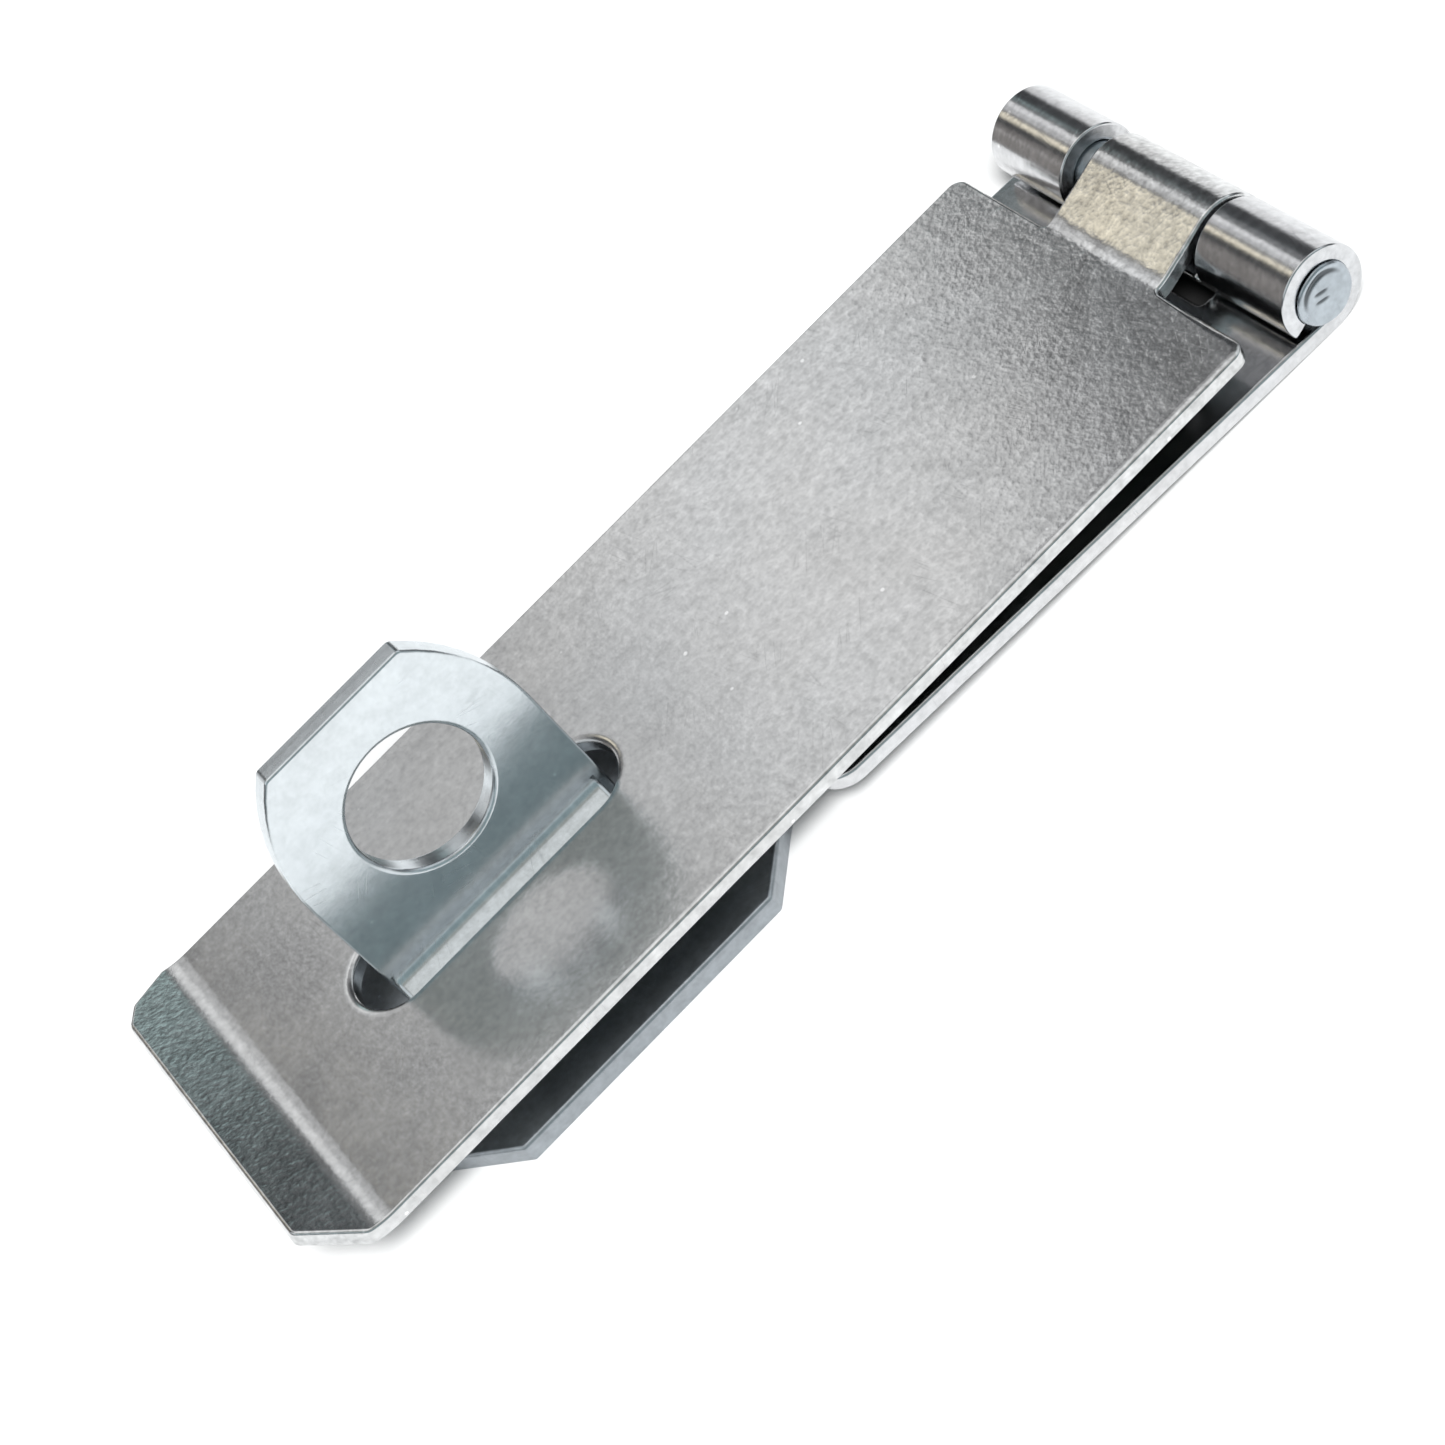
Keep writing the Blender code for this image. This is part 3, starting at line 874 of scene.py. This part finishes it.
def ledge_shell(low, place):
    """The swelling along the foot of the eye's face, with its front edge rounded at both ends."""
    section = ledge_section(low)
    count = len(section)
    length = LEDGE_RIGHT - LEDGE_LEFT
    stops = ledge_stops(length)
    points = []
    for stop in stops:
        near_end = max(0.0, 1 - min(stop, length - stop) / LEDGE_END_ROUND)
        shrink = LEDGE_END_ROUND * (1 - sqrt(1 - near_end**2))
        for out, up in section:
            points.append(Vector((LEDGE_LEFT + stop, up, max(out - shrink, min(out, 0.0)))))
    last = (len(stops) - 1) * count
    shell = Shell()
    shell.faces = band_faces(0, len(stops), count)
    shell.faces.append(tuple(range(count)))
    shell.faces.append(tuple(reversed(range(last, last + count))))
    shell.points = [place @ point for point in points]
    shell.normals = [place.to_3x3() @ n for n in smooth_normals(points, shell.faces)]
    shell.edges = [0.0] * len(points)
    shell.strains = [LEDGE_STRAIN] * len(points)
    shell.blank = [tuple(point) for point in points]
    return shell


# -------------------------------- pin

def head_dent(x, z, end):
    """How deep the hammer has marked a pin head at a place on its end."""
    depth = 0.0
    from_x = x + DASH_BACK
    from_z = z - DASH_RISE
    for offset in (-DASH_APART, DASH_APART):
        along = (from_x * DASH_COS + from_z * DASH_SIN) / DASH_HALF_LENGTH
        across = (from_z * DASH_COS - from_x * DASH_SIN - offset) / DASH_HALF_WIDTH
        depth += DENT_DEPTH * exp(-along**4 - across**2)
    ring = (hypot(x, z) - RING_RADIUS) / RING_HALF_WIDTH
    upper = max(0.0, sin(atan2(z, x * end) + RING_TURN))
    depth += RING_DEPTH * DENT_DEPTH * exp(-ring**2) * upper
    return depth


def pin_profile(reach):
    """Half of the pin's outline from the middle of one head: (radius, y, how hammered)."""
    profile = []
    for part in np.linspace(0.03, 0.86, 36):
        radius = PIN_HEAD_RADIUS * part
        crown = PIN_HEAD_CROWN * (radius / PIN_HEAD_RADIUS) ** 2
        profile.append((radius, reach - crown, 1.0))
    steps = 8
    for step in range(1, steps + 1):
        angle = pi / 2 * step / steps
        radius = PIN_HEAD_RADIUS - PIN_RIM + PIN_RIM * sin(angle)
        drop = PIN_RIM_DROP * (1 - cos(angle))
        profile.append((radius, reach - PIN_RIM_INSET - drop, 0.5))
    neck = reach - PIN_HEAD_RISE
    profile.append((PIN_RADIUS + PIN_NECK_FLARE, neck, 0.0))
    profile.append((PIN_RADIUS, neck - PIN_NECK_LENGTH, 0.0))
    return profile


def pin_ring(radius, y, hammered, end):
    """The points round the pin at one place of its outline, uneven where it is hammered."""
    points = []
    for i in range(PIN_SIDES):
        angle = 2 * pi * i / PIN_SIDES
        x = radius * cos(angle)
        z = radius * sin(angle)
        wobble = 1 + hammered * 0.025 * sin(3 * angle + end) * (radius / PIN_HEAD_RADIUS)
        wobble += hammered * 0.012 * sin(7 * angle + 2 * end) * (radius / PIN_HEAD_RADIUS)
        depth = head_dent(x, z, end) if hammered else 0.0
        points.append((x * wobble, y - end * depth, z * wobble))
    return points


def pin_faces(rings, last):
    """The bands between the rings, and a fan of triangles round the middle of each head."""
    faces = []
    for i in range(PIN_SIDES):
        j = (i + 1) % PIN_SIDES
        faces.append((0, 1 + i, 1 + j))
        faces.append((last, last - PIN_SIDES + j, last - PIN_SIDES + i))
    return faces + band_faces(1, rings, PIN_SIDES)


def make_pin(axis):
    """A plain pin lying along Y, its two ends hammered out into low, uneven heads."""
    low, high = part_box("hinge_pin")
    reach = (high.y - low.y) / 2
    profile = pin_profile(reach)
    points = [(0.0, -reach + head_dent(0.0, 0.0, -1), 0.0)]
    for radius, y, hammered in profile:
        points += pin_ring(radius, -y, hammered, -1)
    for radius, y, hammered in reversed(profile):
        points += pin_ring(radius, y, hammered, 1)
    points.append((0.0, reach - head_dent(0.0, 0.0, 1), 0.0))
    faces = pin_faces(2 * len(profile), len(points) - 1)
    mesh = bpy.data.meshes.new("pin")
    mesh.from_pydata([Vector(p) + axis for p in points], [], faces)
    mesh.shade_smooth()
    add_blank_attribute(mesh, points)
    # The depth of the dents darkens the colour there: painted shade in the dashes and the ring.
    depths = [head_dent(x, z, 1 if y > 0 else -1) / DENT_DEPTH for x, y, z in points]
    add_attribute(mesh, "painted_recess_shade", depths)
    return add_object("pin", mesh)


# -------------------------------- node helpers

class Graph:
    """A node tree, built by naming each node's kind and what goes into it."""

    def __init__(self, tree):
        self.tree = tree
        tree.nodes.clear()

    def node(self, kind, inputs=None, **settings):
        made = self.tree.nodes.new(kind)
        for key, value in settings.items():
            setattr(made, key, value)
        for key, value in (inputs or {}).items():
            self.feed(made.inputs[key], value)
        return made

    def feed(self, socket, value):
        if isinstance(value, bpy.types.NodeSocket):
            self.tree.links.new(value, socket)
        else:
            socket.default_value = value

    def math(self, operation, *values, clamp=False):
        inputs = dict(enumerate(values))
        made = self.node("ShaderNodeMath", inputs, operation=operation, use_clamp=clamp)
        return made.outputs[0]

    def smooth(self, value, low, high, to_low=0.0, to_high=1.0):
        inputs = {"Value": value, "From Min": low, "From Max": high}
        inputs.update({"To Min": to_low, "To Max": to_high})
        made = self.node("ShaderNodeMapRange", inputs, interpolation_type="SMOOTHSTEP")
        return made.outputs["Result"]

    def mix(self, factor, one, other, blend="MIX"):
        made = self.node("ShaderNodeMix", data_type="RGBA", blend_type=blend)
        sockets = (made.inputs[0], made.inputs[6], made.inputs[7])
        for socket, value in zip(sockets, (factor, one, other)):
            self.feed(socket, value)
        return made.outputs[2]

    def noise(self, vector, scale, detail=2.0, rough=0.5, distortion=0.0):
        inputs = {"Vector": vector, "Scale": scale, "Detail": detail}
        inputs.update({"Roughness": rough, "Distortion": distortion})
        return self.node("ShaderNodeTexNoise", inputs, noise_dimensions="3D").outputs["Fac"]

    def stretched(self, vector, scale):
        inputs = {"Vector": vector, "Scale": scale}
        return self.node("ShaderNodeMapping", inputs, vector_type="POINT").outputs[0]

    def attribute(self, label, output="Fac"):
        return self.node("ShaderNodeAttribute", attribute_name=label).outputs[output]

    def surface(self, shader, kind="ShaderNodeOutputMaterial"):
        out = self.node(kind)
        self.tree.links.new(shader.outputs[0], out.inputs["Surface"])


# -------------------------------- zinc

def scratches(g, place):
    """Sparse hairline scratches in three directions, 1 in the middle of each."""
    total = None
    for turn, along, offset in ((0.35, 70.0, 0.0), (-0.9, 95.0, 0.31), (1.35, 80.0, 0.77)):
        turned = g.node("ShaderNodeMapping", {
            "Vector": place,
            "Rotation": (0.0, 0.0, turn),
            "Location": (offset, offset, 0.0),
        }).outputs[0]
        lines = g.node("ShaderNodeTexVoronoi", {
            "Vector": g.stretched(turned, (along, 900.0, 0.0)),
            "Scale": 1.0,
        }, feature="DISTANCE_TO_EDGE").outputs["Distance"]
        line = g.smooth(lines, 0.0, 0.035, 1.0, 0.0)
        gate = g.smooth(g.noise(turned, 210.0, 1.0), 0.60, 0.70)
        line = g.math("MULTIPLY", line, gate)
        total = line if total is None else g.math("MAXIMUM", total, line)
    return total


def scuffs(g, place):
    """Small curled rub marks in loose clusters."""
    wave = g.noise(place, 900.0, 1.0, 0.5, 0.6)
    line = g.smooth(g.math("ABSOLUTE", g.math("SUBTRACT", wave, 0.5)), 0.0, 0.022, 1.0, 0.0)
    gate = g.smooth(g.noise(place, 105.0, 1.0), 0.73, 0.79)
    return g.math("MULTIPLY", line, gate)


def bright_specks(g, place):
    """A few tiny bright specks."""
    cell = g.node("ShaderNodeTexVoronoi", {"Vector": place, "Scale": 420.0})
    split = g.node("ShaderNodeSeparateColor", {0: cell.outputs["Color"]})
    chosen = g.smooth(split.outputs[0], 0.85, 0.87)
    spot = g.smooth(cell.outputs["Distance"], 0.05, 0.12, 1.0, 0.0)
    return g.math("MULTIPLY", spot, chosen)


def zinc_marks(g, grain, shift):
    """The patterns and point values that the colour, roughness and height of zinc share."""
    place = g.node("ShaderNodeVectorMath", {
        0: g.attribute("blank", "Vector"),
        1: (shift, shift * 0.7, 0.0),
    }, operation="ADD").outputs[0]
    worked = g.attribute("strain")
    return SimpleNamespace(
        edge=g.attribute("edge"),
        painted_recess_shade=g.attribute("painted_recess_shade"),
        fine=g.noise(place, 2700.0, 1.0, 0.5),
        spots=g.noise(place, 1250.0, 1.0, 0.5),
        blotches=g.noise(place, 480.0, 2.0, 0.5),
        clouds=g.noise(place, 150.0, 4.0, 0.6),
        broad=g.noise(place, 46.0, 2.0, 0.5),
        streaks=g.noise(g.stretched(place, (260.0, 40.0, 260.0)), 1.0, 3.0, 0.6),
        torn=g.noise(g.stretched(place, (1900.0, 1900.0, 260.0)), 1.0, 3.0, 0.6),
        scratch=scratches(g, place),
        scuff=scuffs(g, place),
        speck=bright_specks(g, place),
        amount=g.math("MULTIPLY", g.math("MULTIPLY_ADD", worked, 1.4, 1.0), grain),
    )


def zinc_colour(g, marks, tint, painted_edge_shade):
    """The tint, slightly warmer or cooler in broad areas, under grain, clouds and marks, with painted
    shade on cut edges and in the dents of the pin heads.
    """
    red, green, blue = tint
    warm = (red * 1.01, green, blue * 0.985, 1.0)
    cool = (red * 0.97, green * 0.995, blue * 1.015, 1.0)
    film = g.mix(marks.broad, warm, cool)
    speckle = None
    for layer, strength in ((marks.fine, 0.20), (marks.spots, 0.38), (marks.blotches, 0.22)):
        part = g.math("MULTIPLY", g.math("SUBTRACT", layer, 0.5), strength)
        speckle = part if speckle is None else g.math("ADD", speckle, part)
    shade = g.math("MULTIPLY_ADD", speckle, marks.amount, 1.0)
    for mark, low, high, clear, marked in (
        (marks.clouds, 0.25, 0.75, 0.955, 1.03),
        (marks.scuff, 0.0, 1.0, 1.0, 0.72),
        (marks.scratch, 0.0, 1.0, 1.0, 0.94),
        (marks.speck, 0.0, 1.0, 1.0, 1.6),
        # painted shade on the cut edges, where the edge shade given is below 1
        (marks.edge, 0.0, 1.0, 1.0, painted_edge_shade),
        # painted shade, darker the deeper the hammer's dents on the pin heads
        (marks.painted_recess_shade, 0.15, 1.0, 1.0, 0.25),
    ):
        shade = g.math("MULTIPLY", shade, g.smooth(mark, low, high, clear, marked))
    return g.mix(1.0, film, shade, blend="MULTIPLY")


def zinc_roughness(g, marks, roughness):
    """A little rougher in places, along scratches, on cut edges and in rub marks."""
    rough = g.math("ADD", roughness, g.smooth(marks.clouds, 0.3, 0.7, -0.02, 0.03))
    rough = g.math("ADD", rough, g.smooth(marks.scratch, 0.0, 1.0, 0.0, 0.05))
    rough = g.math("ADD", rough, g.math("MULTIPLY", marks.edge, 0.05))
    return g.math("ADD", rough, g.math("MULTIPLY", marks.scuff, 0.08))


def zinc_height(g, marks):
    """The relief: grain, soft waves, rolling streaks, marks cut in, and torn cut edges."""
    amount = marks.amount
    height = g.math("MULTIPLY", marks.fine, g.math("MULTIPLY", amount, 0.22))
    spots = g.math("MULTIPLY", marks.spots, g.math("MULTIPLY", amount, 0.34))
    height = g.math("ADD", height, spots)
    height = g.math("ADD", height, g.math("MULTIPLY", marks.clouds, 0.4))
    height = g.math("ADD", height, g.math("MULTIPLY", marks.streaks, 0.2))
    height = g.math("SUBTRACT", height, g.math("MULTIPLY", marks.scratch, 0.06))
    height = g.math("SUBTRACT", height, g.math("MULTIPLY", marks.scuff, 0.12))
    torn = g.math("MULTIPLY", marks.torn, g.math("MULTIPLY", marks.edge, 0.4))
    return g.math("ADD", height, torn)


def zinc(name, tint, roughness, grain=1.0, shift=0.0, painted_edge_shade=1.0):
    """Bright zinc plate: fine mottled grain, faint clouding, rub marks, scratches and specks, with
    painted shade in dents and on cut edges where asked.
    """
    material = bpy.data.materials.new(name)
    material.use_nodes = True
    g = Graph(material.node_tree)
    marks = zinc_marks(g, grain, shift)
    bump = g.node("ShaderNodeBump", {
        "Height": zinc_height(g, marks),
        "Distance": ZINC_RELIEF,
        "Strength": 1.0,
    })
    g.surface(g.node("ShaderNodeBsdfPrincipled", {
        "Base Color": zinc_colour(g, marks, tint, painted_edge_shade),
        "Metallic": 1.0,
        "Roughness": zinc_roughness(g, marks, roughness),
        "Normal": bump.outputs[0],
    }))
    return material


# -------------------------------- studio

def floor_tone_and_painted_shadow(g, low, high):
    """A faintly uneven pale tone, with a painted shadow dark inside the rectangle from low to high."""
    place = g.node("ShaderNodeTexCoord").outputs["Object"]
    tone = g.smooth(g.noise(place, 30.0, 3.0), 0.2, 0.8, *FLOOR_TONES)
    x, y = g.node("ShaderNodeSeparateXYZ", {0: place}).outputs[:2]
    along = g.math("ABSOLUTE", g.math("SUBTRACT", x, (low.x + high.x) / 2))
    across = g.math("ABSOLUTE", g.math("SUBTRACT", y, (low.y + high.y) / 2))
    past_x = g.math("SUBTRACT", along, (high.x - low.x) / 2)
    past_y = g.math("SUBTRACT", across, (high.y - low.y) / 2)
    outside = g.math("MAXIMUM", past_x, past_y)
    # painted shadow under the leaf
    lit = g.smooth(outside, *FLOOR_SHADOW_INSET, FLOOR_PAINTED_SHADOW, 1.0)
    return g.math("MULTIPLY", tone, lit)


def make_floor(low, high):
    """A plain pale floor, with a painted shadow dark where the leaf, which never moves, covers it from
    low to high.
    """
    mesh = bpy.data.meshes.new("floor")
    half = FLOOR_HALF
    corners = [(-half, -half, 0.0), (half, -half, 0.0), (half, half, 0.0), (-half, half, 0.0)]
    mesh.from_pydata(corners, [], [(0, 1, 2, 3)])
    floor = add_object("floor", mesh)
    material = bpy.data.materials.new("floor_white")
    material.use_nodes = True
    g = Graph(material.node_tree)
    g.surface(g.node("ShaderNodeBsdfPrincipled", {
        "Base Color": floor_tone_and_painted_shadow(g, low, high),
        "Roughness": 0.9,
        "Specular IOR Level": 0.1,
    }))
    mesh.materials.append(material)


def ahead_and_down(elevation):
    """The direction of a line of sight that heads as the camera does and falls at an angle."""
    level = cos(elevation)
    across = sin(CAMERA_HEADING) * level
    along = cos(CAMERA_HEADING) * level
    return Vector((across, along, -sin(elevation)))


def make_floor_light():
    """A wide soft light over the viewer's head that whitens the floor and makes no highlights."""
    data = bpy.data.lights.new("floor_light", "SUN")
    data.energy = FLOOR_LIGHT
    data.angle = FLOOR_LIGHT_ANGLE
    light = bpy.data.objects.new("floor_light", data)
    light.visible_glossy = False
    falling = ahead_and_down(FLOOR_LIGHT_ELEVATION)
    light.rotation_euler = falling.to_track_quat("-Z", "Y").to_euler()
    bpy.context.scene.collection.objects.link(light)


def panel_glow(g, azimuth, elevation, panel):
    """The light of one panel in every direction: its colour inside, and black outside."""
    centre, half, height, half_height, soft, colour, strength = panel
    away = g.math("SUBTRACT", azimuth, radians(centre))
    away = g.math("ABSOLUTE", g.math("WRAP", away, pi, -pi))
    level = g.math("ABSOLUTE", g.math("SUBTRACT", elevation, radians(height)))
    inner = [radians(half - soft / 2), radians(half_height - soft / 2)]
    outer = [radians(half + soft / 2), radians(half_height + soft / 2)]
    across = g.smooth(away, inner[0], outer[0], 1.0, 0.0)
    upward = g.smooth(level, inner[1], outer[1], 1.0, 0.0)
    lit = tuple(channel * strength for channel in colour) + (1.0,)
    return g.mix(g.math("MULTIPLY", across, upward), (0.0, 0.0, 0.0, 1.0), lit)


def make_world():
    """A dim room with soft panels in it, behind a plain pale backdrop."""
    world = bpy.data.worlds.new("studio")
    world.use_nodes = True
    g = Graph(world.node_tree)
    direction = g.node("ShaderNodeTexCoord").outputs["Generated"]
    x, y, z = g.node("ShaderNodeSeparateXYZ", {0: direction}).outputs[:3]
    azimuth = g.math("ARCTAN2", x, y)
    elevation = g.math("ARCSINE", g.math("MINIMUM", g.math("MAXIMUM", z, -1.0), 1.0))
    total = (*ROOM, 1.0)
    for panel in PANELS:
        total = g.mix(1.0, total, panel_glow(g, azimuth, elevation, panel), blend="ADD")
    seen = g.node("ShaderNodeLightPath").outputs["Is Camera Ray"]
    total = g.mix(seen, total, (*BACKDROP, 1.0))
    background = g.node("ShaderNodeBackground", {"Color": total, "Strength": 1.0})
    g.surface(background, "ShaderNodeOutputWorld")
    bpy.context.scene.world = world


def make_camera():
    data = bpy.data.cameras.new("camera")
    data.lens = CAMERA_LENS
    data.sensor_width = CAMERA_SENSOR
    data.clip_start = 0.01
    data.clip_end = 20.0
    camera = bpy.data.objects.new("camera", data)
    bpy.context.scene.collection.objects.link(camera)
    ahead = ahead_and_down(CAMERA_ELEVATION)
    flat_right = Vector((cos(CAMERA_HEADING), -sin(CAMERA_HEADING), 0.0))
    flat_up = flat_right.cross(ahead)
    right = flat_right * cos(CAMERA_ROLL) + flat_up * sin(CAMERA_ROLL)
    up = right.cross(ahead)
    turn = Matrix((right, up, -ahead)).transposed().to_4x4()
    camera.matrix_world = Matrix.Translation(CAMERA_AIM - ahead * CAMERA_DISTANCE) @ turn
    bpy.context.scene.camera = camera


def finish_piece(piece, node, body, material):
    piece.data.materials.append(material)
    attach(piece, body)
    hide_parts(node)


AXIS = Vector([j for j in frame["joints"] if j["name"] == "strap_swing"][0]["pos_m"])
STRAP_TOP_Z = AXIS.z + STRAP_TOP_OVER_AXIS

make_camera()
make_floor(*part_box("hinge_leaf"))
make_floor_light()
make_world()
bpy.context.scene.view_settings.view_transform = "Standard"

finish_piece(make_strap(AXIS), "hasp_strap", "strap",
             zinc("zinc_strap", (0.68, 0.68, 0.68), 0.175))
finish_piece(make_leaf(AXIS), "hinge_leaf", "leaf",
             zinc("zinc_leaf", (0.70, 0.70, 0.71), 0.18, grain=0.8, shift=0.3))
finish_piece(make_pin(AXIS), "hinge_pin", "leaf",
             zinc("zinc_pin", (0.47, 0.51, 0.545), 0.28, shift=0.7))
# The plate's cut edges are darkened: painted shade.
finish_piece(make_plate(), "staple_plate", "staple",
             zinc("zinc_plate", (0.62, 0.66, 0.70), 0.38, shift=1.3, painted_edge_shade=0.62))
finish_piece(make_eye(), "staple_eye", "staple",
             zinc("zinc_eye", (0.72, 0.76, 0.785), 0.22, grain=0.6, shift=1.9))
